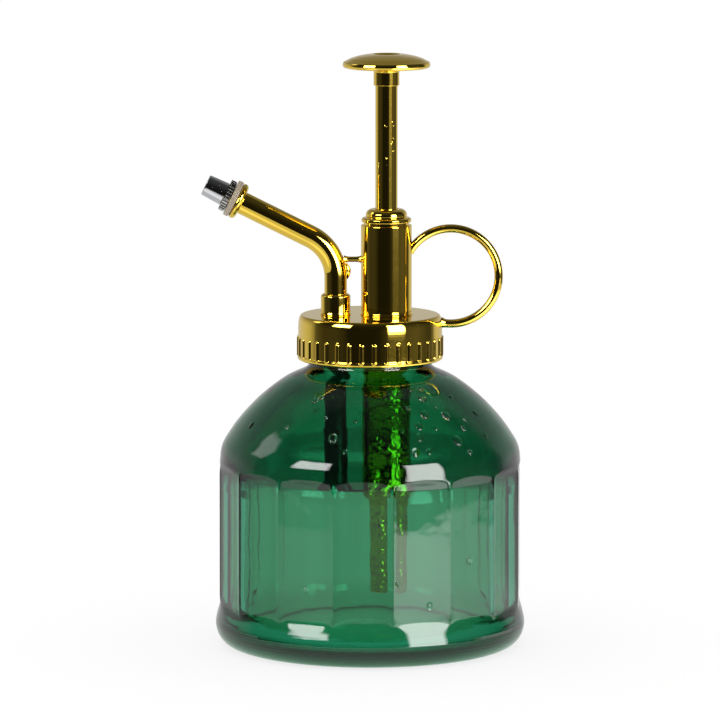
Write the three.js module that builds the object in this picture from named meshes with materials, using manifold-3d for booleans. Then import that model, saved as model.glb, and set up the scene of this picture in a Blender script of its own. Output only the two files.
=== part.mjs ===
// Hand mister: a faceted glass bottle with a screw-on brass pump head.
// Millimetres, +Z up. Origin at the centre of the bottle's flat base; the spout
// points towards -X and the finger ring towards +X. At rest the cap is screwed
// down, the plunger is up and the nozzle is closed.
import * as THREE from "three";
import { mergeVertices } from "three/addons/utils/BufferGeometryUtils.js";
import Module from "manifold-3d";

const wasm = await Module();
wasm.setup();

// ------------------------------------------------------------ shared dimensions
const FIT_GAP = 0.05; // between parts stacked or nested with a close fit
const REST_GAP = 0.02; // under a part that rests on another
const CLEARANCE = 0.1; // around a part that passes through another

// Axes of the pump and of the discharge line
const PUMP_X = 4.3;
const RISER_X = -9.15;

const NECK_R = 16;
const NECK_TOP = 86;
const CAP_R = 19.2;
const CAP_TOP = 88.6;
const CAP_DISC = 1.2;
const CAP_CEILING = CAP_TOP - CAP_DISC;
const FLANGE_BASE = CAP_TOP + REST_GAP; // parts that stand on the cap start here

// Right-handed thread between bottle and cap
const BOTTLE_THREAD = { pitch: 3, turns: 1.25, steps: 26, sides: 6 };
const NECK_THREAD_Z = 79.3;

const BARREL_R = 6.75; // above the cap
const BARREL_LOWER_R = 6.1; // through the cap and inside the bottle
const BARREL_HOLE_R = BARREL_LOWER_R + CLEARANCE;
const BARREL_FOOT = 44;
const FOOT_TOP = 46; // top of the valve block under the pump
const PORT_Z = 47.6; // side port from the barrel to the discharge line

const SPOUT_CORNER_Z = 106; // where the two straight centre lines would cross
const SPOUT_RISE_DEG = 26.5; // above the horizontal

const radians = (degrees) => (degrees * Math.PI) / 180;

// ------------------------------------------------------------ materials
const material = (settings) => new THREE.MeshStandardMaterial(settings);
const greenGlass = material({
  color: 0x1f7a52, metalness: 0, roughness: 0.05, transparent: true, opacity: 0.5,
});
const gold = material({ color: 0xd9a829, metalness: 1, roughness: 0.1 });
const chrome = material({ color: 0xc8cacc, metalness: 1, roughness: 0.15 });
const steel = material({ color: 0xb9bcc0, metalness: 1, roughness: 0.3 });
const rubber = material({ color: 0x151515, metalness: 0, roughness: 0.8 });
const darkPlastic = material({ color: 0x23282a, metalness: 0, roughness: 0.45 });
const whitePlastic = material({ color: 0xe8e6df, metalness: 0, roughness: 0.5 });
const washerPlastic = material({ color: 0x9b8f7d, metalness: 0, roughness: 0.5 });

// ------------------------------------------------------------ solids
// Turns a closed three.js geometry into a solid that can be joined and cut.
function solidOf(geometry) {
  const bare = geometry.index ? geometry.toNonIndexed() : geometry.clone();
  bare.deleteAttribute("normal");
  bare.deleteAttribute("uv");
  const merged = mergeVertices(bare, 1e-4);
  const corners = merged.index.array;
  const faces = [];
  for (let i = 0; i < corners.length; i += 3) {
    const [first, second, third] = corners.slice(i, i + 3);
    const collapsed = first === second || second === third || third === first;
    if (!collapsed) faces.push(first, second, third);
  }
  const build = () =>
    new wasm.Manifold(
      new wasm.Mesh({
        numProp: 3,
        vertProperties: merged.attributes.position.array,
        triVerts: new Uint32Array(faces),
      }),
    );
  const solid = build();
  if (solid.volume() > 0) return solid;
  // The faces look inwards: reverse each one.
  for (let i = 0; i < faces.length; i += 3)
    [faces[i + 1], faces[i + 2]] = [faces[i + 2], faces[i + 1]];
  return build();
}

const planePoints = (pairs) => pairs.map(([x, y]) => new THREE.Vector2(x, y));

// Revolves [radius, height] points about a vertical axis at x. The profile starts
// and ends on the axis, or is closed on itself.
function turnedGeometry(profile, sides, x = 0) {
  const points = planePoints(profile);
  if (profile[0][0] !== 0 || profile.at(-1)[0] !== 0) points.push(points[0].clone());
  return new THREE.LatheGeometry(points, sides).rotateX(Math.PI / 2).translate(x, 0, 0);
}
const turned = (profile, sides, x) => solidOf(turnedGeometry(profile, sides, x));
const rod = (radius, base, top, x = 0, sides = 32) =>
  turned([[0, base], [radius, base], [radius, top], [0, top]], sides, x);
const tube = (radius, bore, base, top, sides) =>
  turned([[bore, base], [radius, base], [radius, top], [bore, top]], sides);
const rodAlongX = (radius, start, end, z, sides) =>
  solidOf(
    new THREE.CylinderGeometry(radius, radius, end - start, sides)
      .rotateZ(Math.PI / 2)
      .translate((start + end) / 2, 0, z),
  );

// Box between two opposite [x, y, z] corners.
const box = (low, high) =>
  solidOf(
    new THREE.BoxGeometry(...high.map((value, i) => value - low[i]))
      .translate(...high.map((value, i) => (value + low[i]) / 2)),
  );
const ball = (radius, x, z, around = 12, high = 8) =>
  solidOf(new THREE.SphereGeometry(radius, around, high).rotateX(Math.PI / 2).translate(x, 0, z));
const ring = (radius, wire, z, around) =>
  solidOf(new THREE.TorusGeometry(radius, wire, 6, around).translate(0, 0, z));

const extruded = (points, depth) =>
  new THREE.ExtrudeGeometry(new THREE.Shape(points), { depth, steps: 1, bevelEnabled: false });
// Upright plate from an [x, z] outline, its thickness centred on y = 0.
const plateGeometry = (outline, thickness) =>
  extruded(planePoints(outline), thickness)
    .translate(0, 0, -thickness / 2)
    .rotateX(Math.PI / 2);

// A curve given point by point, sampled evenly in its own parameter.
class Route extends THREE.Curve {
  constructor(pointAt) {
    super();
    this.pointAt = pointAt;
  }
  getPoint(share, target = new THREE.Vector3()) {
    return target.copy(this.pointAt(share));
  }
  getUtoTmapping(share) {
    return share;
  }
}

// Sweeps a round section, hollow if a bore is given, along a route.
function swept(pointAt, steps, radius, sides, bore = 0) {
  const circle = (size) =>
    Array.from({ length: sides }, (_, i) => {
      const angle = ((i + 0.5) / sides) * 2 * Math.PI;
      return new THREE.Vector2(size * Math.cos(angle), size * Math.sin(angle));
    });
  const section = new THREE.Shape(circle(radius));
  if (bore) section.holes.push(new THREE.Path(circle(bore)));
  const extrudePath = new Route(pointAt);
  return solidOf(new THREE.ExtrudeGeometry(section, { steps, bevelEnabled: false, extrudePath }));
}

// Round wire wound about +Z from its centre height z; used for springs and threads.
function coil({ radius, wire, z, pitch, turns, steps, sides }) {
  const pointAt = (share) => {
    const angle = share * turns * 2 * Math.PI;
    return new THREE.Vector3(
      radius * Math.cos(angle), radius * Math.sin(angle), z + pitch * turns * share,
    );
  };
  return swept(pointAt, steps, wire, sides);
}

// ------------------------------------------------------------ bottle
const BOTTLE_SIDES = 32; // straight sides that stand for a full turn
const BODY_R = 40.4;
const FACETS = 16;
const FACET_APOTHEM = 39.62; // from the bottle's axis to the middle of a flat
const FACET_EDGE_DEG = 8.6; // one facet edge, counter-clockwise from +X
const FACET_FOOT = 12.3; // the facets run out into the base bead below this height
const FACET_HEAD = 47.4; // and into the shoulder ring above this one
const FOOT_SCOOP = 2.3; // run-out below the foot: (depth / scoop) squared
const HEAD_SCOOP = 2.5; // the same above the head
const FACET_ZONE = { radius: 30, low: 5, high: 51.5 }; // only points in here are pressed

// [radius, height], from the base up to the neck
const BOTTLE_OUTSIDE = [
  [0, 0], [36.1, 0], [37.9, 0.5], [39.5, 1.7], [40.8, 3.6], [41.4, 6.2], [41.15, 8.2],
  [40.6, 9.6], [BODY_R, 10.8], [BODY_R, FACET_FOOT], [BODY_R, FACET_HEAD], [BODY_R, 48.8],
  [40.35, 50.1], [40.2, 52], [39.7, 53.9], [38.1, 56.6], [35.95, 59.9], [33.35, 63],
  [30.2, 66.2], [26.5, 69.3], [22.8, 71.8], [19.9, 73.1], [17.8, 74], [16.7, 74.8],
  [NECK_R, 75.8], [NECK_R, 85.5], [15.6, NECK_TOP], [0, NECK_TOP],
];
const BOTTLE_INSIDE = [
  [0, 5.2], [28, 5.5], [32.6, 6.4], [35.4, 8.6], [36.7, 12.4], [36.7, 45.5], [36.2, 48.2],
  [35.1, 50.9], [33.3, 53.7], [31, 56.5], [28.4, 59.2], [25.4, 61.9], [22.1, 64.6],
  [19.2, 66.6], [16.8, 68], [14.9, 69.4], [13.8, 71.2], [13.6, 73.5], [13.6, 87], [0, 87],
];

// The outside is turned, then each side is pressed back to a flat facet that runs
// out in a shallow scoop at its foot and head.
function bottleOutside() {
  const geometry = turnedGeometry(BOTTLE_OUTSIDE, BOTTLE_SIDES);
  geometry.rotateZ(radians(FACET_EDGE_DEG + 90));
  const positions = geometry.attributes.position;
  const facetAngle = (2 * Math.PI) / FACETS;
  for (let i = 0; i < positions.count; i++) {
    const x = positions.getX(i);
    const y = positions.getY(i);
    const z = positions.getZ(i);
    const radius = Math.hypot(x, y);
    if (radius < FACET_ZONE.radius || z < FACET_ZONE.low || z > FACET_ZONE.high) continue;
    const foot = Math.max(0, FACET_FOOT - z) / FOOT_SCOOP;
    const head = Math.max(0, z - FACET_HEAD) / HEAD_SCOOP;
    const apothem = FACET_APOTHEM + foot * foot + head * head;
    let angle = Math.atan2(y, x) - radians(FACET_EDGE_DEG);
    angle -= facetAngle * Math.floor(angle / facetAngle);
    const limit = apothem / Math.cos(angle - facetAngle / 2);
    if (limit < radius) positions.setXY(i, (x * limit) / radius, (y * limit) / radius);
  }
  return solidOf(geometry);
}

function bottle() {
  const radius = 16.2; // centre of the round ridge
  const wire = 0.78;
  const thread = coil({ ...BOTTLE_THREAD, radius, wire, z: NECK_THREAD_Z });
  const threadStart = ball(wire, radius, NECK_THREAD_Z, 8, 6);
  return bottleOutside().add(thread.add(threadStart)).subtract(turned(BOTTLE_INSIDE, 28));
}

const neckGasket = () => tube(17.2, 13.8, NECK_TOP + FIT_GAP, CAP_CEILING - FIT_GAP, 32);

// ------------------------------------------------------------ screw cap
const CAP_SIDES = 36;
const CAP_BASE = 76.7;
const CAP_BORE = 17.5;
const CAP_RIBS = 36;
const CAP_RIB_PHASE_DEG = -87;
const CAP_RIB_WIDTH = 1.25;
const SOCKET_HOLE_R = 2.65;

// [radius, height]
const CAP_PROFILE = [
  [0, CAP_CEILING], [CAP_BORE, CAP_CEILING], [CAP_BORE, 77.2], [17.75, CAP_BASE],
  [19, CAP_BASE], [19.35, 77.05], [19.35, 77.95], [19, 78.3], [19, 83.1], [CAP_R, 83.3],
  [18.95, 87.8], [18.8, 88.3], [18.4, CAP_TOP], [0, CAP_TOP],
];
const CAP_RIB_OUTLINE = [[18.6, 78.1], [19.5, 78.1], [19.5, 82.6], [19.1, 83.25], [18.6, 83.25]];

function screwCap() {
  let cap = turned(CAP_PROFILE, CAP_SIDES);
  for (let i = 0; i < CAP_RIBS; i++) {
    const angle = radians(CAP_RIB_PHASE_DEG + (360 / CAP_RIBS) * i);
    cap = cap.add(solidOf(plateGeometry(CAP_RIB_OUTLINE, CAP_RIB_WIDTH).rotateZ(angle)));
  }
  // Half a pitch below the neck thread, so the two ridges interleave.
  const z = NECK_THREAD_Z - BOTTLE_THREAD.pitch / 2;
  return cap
    .add(coil({ ...BOTTLE_THREAD, radius: 17.05, wire: 0.64, z }))
    .subtract(rod(BARREL_HOLE_R, 80, 90, PUMP_X, 24))
    .subtract(rod(SOCKET_HOLE_R, 80, 90, RISER_X, 16));
}

// ------------------------------------------------------------ pump barrel and gland
// Parts in the pump group are placed about the pump's own axis.
const BARREL_BORE = 5.2;
const BARREL_TOP = 112.55;
const BARREL_CHAMFER = 0.25;
const STEM_R = 2.95;
const GLAND_BORE = STEM_R + CLEARANCE;

function pumpBarrel() {
  return turned([
    [BARREL_BORE, BARREL_FOOT], [BARREL_LOWER_R, BARREL_FOOT], [BARREL_LOWER_R, FLANGE_BASE],
    [BARREL_R, FLANGE_BASE], [BARREL_R, BARREL_TOP - BARREL_CHAMFER],
    [BARREL_R - BARREL_CHAMFER, BARREL_TOP], [BARREL_BORE, BARREL_TOP],
  ], 28).subtract(rodAlongX(1.2, -6.65, -4.65, PORT_Z, 12));
}

// Hexagonal nut under the cap's disc.
const barrelNut = () =>
  rod(8.55, 84.4, CAP_CEILING - FIT_GAP, 0, 6).subtract(rod(BARREL_HOLE_R, 80, 90, 0, 24));

const glandNut = () =>
  turned([
    [3.9, 107.2], [5.12, 107.2], [5.12, 112.6], [6.05, 112.6], [6.05, 113.3], [6.6, 113.3],
    [6.6, 114.2], [6.35, 114.45], [5.45, 114.55], [5.42, 115.3], [5.1, 116], [4.55, 116.55],
    [3.85, 116.8], [GLAND_BORE, 116.6], [GLAND_BORE, 112.5], [3.9, 112.5],
  ], 24);
const glandBush = () => tube(3.82, GLAND_BORE, 107.3, 111.15, 24);
const rodSeal = () => ring(3.46, 0.41, 111.85, 20);

// ------------------------------------------------------------ plunger
const STEM_TOP = 152.75;
const STEM_CHAMFER = 0.2;
const STEM_SLIM_R = 2; // below the top of the piston
const PISTON_TOP = 106.55;
const PISTON_FOOT = 100;
const PISTON_R = 5.1;
const PISTON_BORE = STEM_SLIM_R + FIT_GAP;
const CLIP_GROOVE = { radius: 1.6, base: 98.9, top: 99.6 };
const CLIP_GAP = 0.06; // between the clip and its groove

function thumbButton() {
  const dishFloor = STEM_TOP + 0.15; // ceiling of the stem's socket
  const socketR = 3.02;
  const collarR = 3.4;
  const collarFoot = 149.6;
  return turned([
    [0, dishFloor], [socketR, dishFloor], [socketR, collarFoot], [collarR, collarFoot],
    [collarR, 153.35], [4.1, 153.75], [8, 153.95], [10.6, 154.2], [11.35, 154.55],
    [11.65, 155.15], [11.5, 155.65], [10.9, 156.1], [9.3, 156.7], [7.4, 157.2], [5.5, 157.6],
    [4.2, 157.8], [3.4, 157.7], [2.3, 157.3], [1.2, 157.05], [0, 157],
  ], 28);
}

function plungerStem() {
  const { radius, base, top } = CLIP_GROOVE;
  const step = PISTON_TOP + FIT_GAP;
  return turned([
    [0, 98.2], [1.8, 98.2], [STEM_SLIM_R, 98.4], [STEM_SLIM_R, base], [radius, base],
    [radius, top], [STEM_SLIM_R, top], [STEM_SLIM_R, step], [STEM_R, step],
    [STEM_R, STEM_TOP - STEM_CHAMFER], [STEM_R - STEM_CHAMFER, STEM_TOP], [0, STEM_TOP],
  ], 20);
}

const piston = () =>
  turned([
    [PISTON_BORE, PISTON_FOOT], [4.7, PISTON_FOOT], [PISTON_R, 100.4], [PISTON_R, 102.5],
    [4.1, 102.5], [4.1, 103.9], [PISTON_R, 103.9], [PISTON_R, 106.2], [4.75, PISTON_TOP],
    [PISTON_BORE, PISTON_TOP],
  ], 24);
const pistonSeal = () => ring(4.64, 0.49, 103.2, 24);

// Flat ring with a gap towards +X.
function pistonClip() {
  const { radius, base, top } = CLIP_GROOVE;
  return tube(3.3, radius + CLIP_GAP, base + CLIP_GAP, top - CLIP_GAP, 20)
    .subtract(box([0, -1.3, 98], [4, 1.3, 100]));
}

// Fills the height between the valve block and the piston.
function returnSpring() {
  const wire = 0.45;
  const turns = 11;
  return coil({
    radius: 4,
    wire,
    z: FOOT_TOP + FIT_GAP + wire,
    pitch: (PISTON_FOOT - FOOT_TOP - 2 * wire - 2 * FIT_GAP) / turns,
    turns,
    steps: turns * 10,
    sides: 4,
  });
}

// ------------------------------------------------------------ inlet valve
// Water is drawn up past the inlet ball into the barrel, then pushed out of a side
// port and along the arm to the outlet ball under the riser.
const FOOT_BASE = 37.6;
const SUCTION_R = 3.2;
const INLET_SEAT = { bore: 1, base: 39.35, top: 41.35 };

// Height of a ball's centre above the rim of the hole it rests on.
const restHeight = (ballRadius, holeRadius) => Math.sqrt(ballRadius ** 2 - holeRadius ** 2);

function pumpFoot() {
  const shoulder = BARREL_FOOT - FIT_GAP;
  const spigotR = 5.1; // inside the barrel
  return turned([
    [0, FOOT_BASE], [3.9, FOOT_BASE], [3.9, 41], [BARREL_LOWER_R, 43],
    [BARREL_LOWER_R, shoulder], [spigotR, shoulder], [spigotR, FOOT_TOP], [0, FOOT_TOP],
  ], 24)
    .subtract(rod(3.28, FOOT_BASE - 1, 41.4, 0, 20)) // socket for seat and suction pipe
    .subtract(rod(2.3, 41, 45.5, 0, 16)) // ball chamber
    .subtract(rod(1.2, 45, 47, 0, 12)) // way out at the top
    .subtract(box([-0.5, -2.2, 45.4], [0.5, 2.2, 47])); // slot across it
}

const inletSeat = () => tube(SUCTION_R, INLET_SEAT.bore, INLET_SEAT.base, INLET_SEAT.top, 20);
function inletBall() {
  const radius = 1.6;
  return ball(radius, 0, INLET_SEAT.top + REST_GAP + restHeight(radius, INLET_SEAT.bore));
}
const suctionPipe = () => tube(SUCTION_R, 2.4, 14, INLET_SEAT.base - CLEARANCE, 24);

// ------------------------------------------------------------ discharge line
const OUTLET_SEAT = 49.92; // where the outlet ball rests
const OUTLET_HOLE_R = 0.9;
const RISER_SOCKET_FLOOR = OUTLET_SEAT + 4.78;
const RETAINER_BASE = RISER_SOCKET_FLOOR + FIT_GAP;
const RETAINER_TOP = RETAINER_BASE + 0.75;

function transferArm() {
  const base = 45.9;
  const armEnd = PUMP_X - BARREL_LOWER_R - 0.3;
  return rod(3.25, base, OUTLET_SEAT + 7.4, RISER_X, 20)
    .add(box([RISER_X, -2.2, base], [armEnd, 2.2, 49.3]))
    .add(rodAlongX(1.1, RISER_X, PUMP_X - 5.25, PORT_Z, 12)) // nipple in the barrel's port
    .subtract(rodAlongX(0.65, RISER_X, PUMP_X - 5, PORT_Z, 10))
    .subtract(rod(OUTLET_HOLE_R, 47, 50.5, RISER_X, 16))
    .subtract(rod(2.3, OUTLET_SEAT - REST_GAP, 55.5, RISER_X, 16)) // ball chamber
    .subtract(rod(2.88, RISER_SOCKET_FLOOR, 59, RISER_X, 20));
}

function outletBall() {
  const radius = 1.5;
  return ball(radius, 0, OUTLET_SEAT + restHeight(radius, OUTLET_HOLE_R));
}
const outletSpring = () =>
  coil({ radius: 1.2, wire: 0.13, z: OUTLET_SEAT + 2.36, pitch: 0.75, turns: 3, steps: 27, sides: 4 });
const outletRetainer = () => tube(2.78, 1.1, RETAINER_BASE, RETAINER_TOP, 20);
const riserTube = () => tube(2.8, 1.6, RETAINER_TOP + CLEARANCE, 86.5, 20);

const spoutSocket = () =>
  turned([
    [1, 82], [1.5, 82], [1.5, 86.55], [2.5, 86.55], [2.5, FLANGE_BASE], [4, FLANGE_BASE],
    [4, 93.8], [3.75, 94.1], [3.1, 94.1], [3.1, 91], [1, 91],
  ], 20);

// ------------------------------------------------------------ spout
const SPOUT_R = 3;
const SPOUT_BORE = 2;
const SPOUT_BEND_R = 12;
const SPOUT_FOOT = 91.05;
const SPOUT_LENGTH = 28.25; // from the corner along the inclined part
const BEND_STEPS = 8;

// A vertical leg, one bend and an inclined leg; each leg takes a single step.
function spoutTube() {
  const bend = radians(90 - SPOUT_RISE_DEG);
  const tangent = SPOUT_BEND_R * Math.tan(bend / 2);
  const bendBase = SPOUT_CORNER_Z - tangent;
  const steps = BEND_STEPS + 2;
  const onBend = (angle) =>
    new THREE.Vector3(
      RISER_X - SPOUT_BEND_R * (1 - Math.cos(angle)), 0, bendBase + SPOUT_BEND_R * Math.sin(angle),
    );
  const pointAt = (share) => {
    const step = share * steps;
    if (step <= 1) {
      return new THREE.Vector3(RISER_X, 0, SPOUT_FOOT + (bendBase - SPOUT_FOOT) * step);
    }
    if (step <= 1 + BEND_STEPS) return onBend(((step - 1) / BEND_STEPS) * bend);
    const along = (step - 1 - BEND_STEPS) * (SPOUT_LENGTH - tangent);
    const { x, z } = onBend(bend);
    return new THREE.Vector3(x - along * Math.sin(bend), 0, z + along * Math.cos(bend));
  };
  return swept(pointAt, steps, SPOUT_R, 18, SPOUT_BORE);
}

// ------------------------------------------------------------ nozzle
// Heights here are distances along the spout from the corner.
const NOZZLE_THREAD = { pitch: 0.8, turns: 1.75, steps: 21, sides: 5 };
const NOZZLE_THREAD_Z = 33.7;
const NOZZLE_TEETH = 28;
const TOOTH_TIP_R = 4.32;
const TOOTH_ROOT_R = 3.98;
const INSERT_TOP = 35.95;
const INSERT_SLOTS = 3;

const spoutEnd = () =>
  turned([
    [1.1, 25.5], [1.85, 25.5], [1.85, 28.32], [3.9, 28.32], [4.5, 28.52], [4.75, 28.9],
    [4.5, 29.26], [3.9, 29.44], [2.2, 29.44], [2.2, 35.3], [1.1, 35.3],
  ], 20).add(coil({ ...NOZZLE_THREAD, radius: 2.23, wire: 0.25, z: NOZZLE_THREAD_Z }));

const nozzleWasher = () =>
  turned([[2.55, 29.5], [4.75, 29.5], [5, 29.75], [5, 30.75], [4.8, 31], [2.55, 31]], 24);

// Stepped plug with off-centre slots across its top face.
function swirlInsert() {
  let insert = turned([
    [0, 33.6], [1, 33.6], [1, 35.42], [1.9, 35.42], [1.9, INSERT_TOP], [0, INSERT_TOP],
  ], 12);
  for (let i = 0; i < INSERT_SLOTS; i++) {
    const slot = new THREE.BoxGeometry(2.4, 0.4, 0.3)
      .translate(1.4, 0.5, INSERT_TOP)
      .rotateZ((i * 2 * Math.PI) / INSERT_SLOTS);
    insert = insert.subtract(solidOf(slot));
  }
  return insert;
}
const nozzleORing = () => ring(2.61, 0.35, 31.62, 18);

function toothedCollar() {
  const points = Array.from({ length: NOZZLE_TEETH * 2 }, (_, i) => {
    const angle = (i / NOZZLE_TEETH / 2) * 2 * Math.PI;
    const radius = i % 2 ? TOOTH_TIP_R : TOOTH_ROOT_R;
    return new THREE.Vector2(radius * Math.cos(angle), radius * Math.sin(angle));
  });
  return solidOf(extruded(points, 1.5).translate(0, 0, 31.25));
}

function nozzleCap() {
  const outside = turned([
    [0, 31.17], [3.9, 31.17], [3.9, 32.8], [3.1, 32.85], [2.92, 38.35], [2.8, 38.5], [0, 38.5],
  ], 20);
  const inside = turned([
    [0, 30], [3.05, 30], [3.05, 32.15], [2.62, 32.15], [2.62, 36.3], [1.6, 36.3], [0.9, 37.3],
    [0.3, 37.6], [0.3, 39], [0, 39],
  ], 16);
  const z = NOZZLE_THREAD_Z - NOZZLE_THREAD.pitch / 2;
  // Trimmed so that the ridge stays within the cap's wall.
  const thread = coil({ ...NOZZLE_THREAD, radius: 2.6, wire: 0.24, z })
    .intersect(rod(2.75, 30, 40, 0, 20));
  return outside.add(toothedCollar()).subtract(inside).add(thread);
}

// ------------------------------------------------------------ brace, lug and finger ring
const braceRod = () => rodAlongX(0.75, -6.6, -2.54, 103.3, 12);

// [x, z], on the pump side of the spout
const LUG_OUTLINE = [
  [-6.08, 98], [-5.6, 98.5], [-5, 99.7], [-4.82, 100.9], [-5, 101.8], [-5.5, 102.35],
  [-6.52, 102.3], [-6.26, 101], [-6.1, 99.6],
];
const spoutLug = () => solidOf(plateGeometry(LUG_OUTLINE, 1.5));

const RING_X = 21.4;
const RING_Z = 98.8;
const RING_R = 12.72;
const RING_WIRE = 1.12;
const RING_FROM_DEG = -103; // from +X, turning towards +Z
const RING_TO_DEG = 149;

// Open ring, cut back to clear the cap and the barrel.
function fingerRing() {
  const pointAt = (share) => {
    const angle = radians(RING_FROM_DEG + (RING_TO_DEG - RING_FROM_DEG) * share);
    return new THREE.Vector3(
      RING_X + RING_R * Math.cos(angle), 0, RING_Z + RING_R * Math.sin(angle),
    );
  };
  return swept(pointAt, 32, RING_WIRE, 10)
    .subtract(rod(CAP_R + CLEARANCE, 80, 88.2, 0, CAP_SIDES))
    .subtract(rod(BARREL_R + CLEARANCE, 90, 115, PUMP_X, 28));
}

// ------------------------------------------------------------ assembly
const mister = new THREE.Group();
const pump = new THREE.Group();
pump.position.x = PUMP_X;
const plunger = new THREE.Group();
pump.add(plunger);
const discharge = new THREE.Group();
discharge.position.x = RISER_X;
const nozzle = new THREE.Group(); // its own +Z runs out along the inclined spout
nozzle.position.set(RISER_X, 0, SPOUT_CORNER_Z);
nozzle.rotation.y = radians(SPOUT_RISE_DEG - 90);
mister.add(pump, discharge, nozzle);

function piece(name, solid, finish, group) {
  const { vertProperties, numProp, triVerts } = solid.getMesh();
  const faceted = new THREE.BufferGeometry()
    .setAttribute("position", new THREE.BufferAttribute(vertProperties, numProp))
    .setIndex(new THREE.BufferAttribute(triVerts, 1))
    .toNonIndexed();
  faceted.computeVertexNormals();
  const mesh = new THREE.Mesh(faceted, finish);
  mesh.name = name;
  group.add(mesh);
}

piece("bottle", bottle(), greenGlass, mister);
piece("neck_gasket", neckGasket(), rubber, mister);
piece("screw_cap", screwCap(), gold, mister);
piece("pump_barrel", pumpBarrel(), gold, pump);
piece("barrel_nut", barrelNut(), gold, pump);
piece("gland_nut", glandNut(), gold, pump);
piece("gland_bush", glandBush(), whitePlastic, pump);
piece("rod_seal", rodSeal(), rubber, pump);
piece("thumb_button", thumbButton(), gold, plunger);
piece("plunger_stem", plungerStem(), gold, plunger);
piece("piston", piston(), whitePlastic, plunger);
piece("piston_seal", pistonSeal(), rubber, plunger);
piece("piston_clip", pistonClip(), steel, plunger);
piece("return_spring", returnSpring(), steel, pump);
piece("pump_foot", pumpFoot(), gold, pump);
piece("inlet_seat", inletSeat(), gold, pump);
piece("inlet_ball", inletBall(), steel, pump);
piece("suction_pipe", suctionPipe(), gold, pump);
piece("transfer_arm", transferArm(), darkPlastic, mister);
piece("outlet_ball", outletBall(), steel, discharge);
piece("outlet_spring", outletSpring(), steel, discharge);
piece("outlet_retainer", outletRetainer(), whitePlastic, discharge);
piece("riser_tube", riserTube(), darkPlastic, discharge);
piece("spout_socket", spoutSocket(), gold, discharge);
piece("spout_tube", spoutTube(), gold, mister);
piece("spout_end", spoutEnd(), gold, nozzle);
piece("nozzle_washer", nozzleWasher(), washerPlastic, nozzle);
piece("swirl_insert", swirlInsert(), whitePlastic, nozzle);
piece("nozzle_o_ring", nozzleORing(), rubber, nozzle);
piece("nozzle_cap", nozzleCap(), chrome, nozzle);
piece("brace_rod", braceRod(), gold, mister);
piece("spout_lug", spoutLug(), gold, mister);
piece("finger_ring", fingerRing(), gold, mister);

export default mister;
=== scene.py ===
"""A faceted green glass bottle with a gold screw cap, thumb pump, finger ring and spray nozzle.

The bottle stands on z = 0 with its axis on Z. The pump rises at +X of the axis. The riser stands
at -X and its spout leans out towards -X. The finger ring is on the +X side, and the camera looks
from -Y. Shapes are in millimetres and degrees, the stage is in metres.
"""
from math import acos, atan2, cos, degrees, exp, hypot, pi, radians, sin, sqrt, tan

import bpy
import bmesh
from mathutils import Matrix, Vector
from mathutils.noise import noise as smooth_noise, voronoi


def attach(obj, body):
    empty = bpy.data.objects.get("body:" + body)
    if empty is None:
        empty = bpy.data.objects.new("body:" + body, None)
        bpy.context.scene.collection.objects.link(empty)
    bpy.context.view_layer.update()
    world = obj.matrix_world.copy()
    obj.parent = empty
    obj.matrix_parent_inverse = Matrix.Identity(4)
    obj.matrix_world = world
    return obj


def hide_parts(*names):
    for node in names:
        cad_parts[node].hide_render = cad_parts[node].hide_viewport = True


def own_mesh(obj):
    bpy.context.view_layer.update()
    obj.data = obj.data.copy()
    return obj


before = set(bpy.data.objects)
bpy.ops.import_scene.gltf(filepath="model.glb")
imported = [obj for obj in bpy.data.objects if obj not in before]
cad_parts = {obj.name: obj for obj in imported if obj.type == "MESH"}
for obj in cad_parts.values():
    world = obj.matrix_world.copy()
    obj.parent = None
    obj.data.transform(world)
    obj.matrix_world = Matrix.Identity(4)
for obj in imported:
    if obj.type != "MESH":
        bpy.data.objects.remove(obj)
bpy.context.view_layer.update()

MM = 0.001
PUMP_X = 4.3                 # pump axis
RISER_X = -9.15              # riser axis
SPOUT_RISE = radians(26.5)   # slope of the spout above level
CORNER_Z = 106.0             # where the riser and spout axes cross


# ------------------------------------------------------------------ mesh helpers
def smoothstep(start, end, value):
    t = min(1.0, max(0.0, (value - start) / (end - start)))
    return t * t * (3 - 2 * t)


def around(count):
    """Equal angles round a full turn."""
    return [2 * pi * j / count for j in range(count)]


def make(name, shape, finish, node, body="head", angle=35, matrix=Matrix()):
    """One finished piece from (verts, faces) in mm. A finish is (material, slot).

    Edges sharper than angle are marked sharp, or none when angle is None.
    """
    verts, faces = shape
    material, slot = finish
    mesh = bpy.data.meshes.new(name)
    mesh.from_pydata([tuple((matrix @ Vector(v)) * MM) for v in verts], [], faces)
    bm = bmesh.new()
    bm.from_mesh(mesh)
    bmesh.ops.remove_doubles(bm, verts=bm.verts, dist=1e-7)
    bmesh.ops.recalc_face_normals(bm, faces=bm.faces)
    if bm.calc_volume(signed=True) < 0:
        bmesh.ops.reverse_faces(bm, faces=bm.faces)
    bm.to_mesh(mesh)
    bm.free()
    mesh.materials.append(material)
    mesh.shade_smooth()
    if angle is not None:
        mesh.set_sharp_from_angle(angle=radians(angle))
    obj = bpy.data.objects.new(name, mesh)
    bpy.context.scene.collection.objects.link(obj)
    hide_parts(node)
    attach(obj, body)
    return obj


def grid_faces(rows, columns, closed_rows=False, offset=0):
    """Quads between rings of points; each ring closes on itself."""
    faces = []
    for i in range(rows if closed_rows else rows - 1):
        here, following = offset + i * columns, offset + (i + 1) % rows * columns
        for j in range(columns):
            k = (j + 1) % columns
            faces.append((here + j, here + k, following + k, following + j))
    return faces


def closed_shape(rings):
    """Rings joined one to the next and the last to the first."""
    verts = [v for ring in rings for v in ring]
    return verts, grid_faces(len(rings), len(rings[0]), closed_rows=True)


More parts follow.
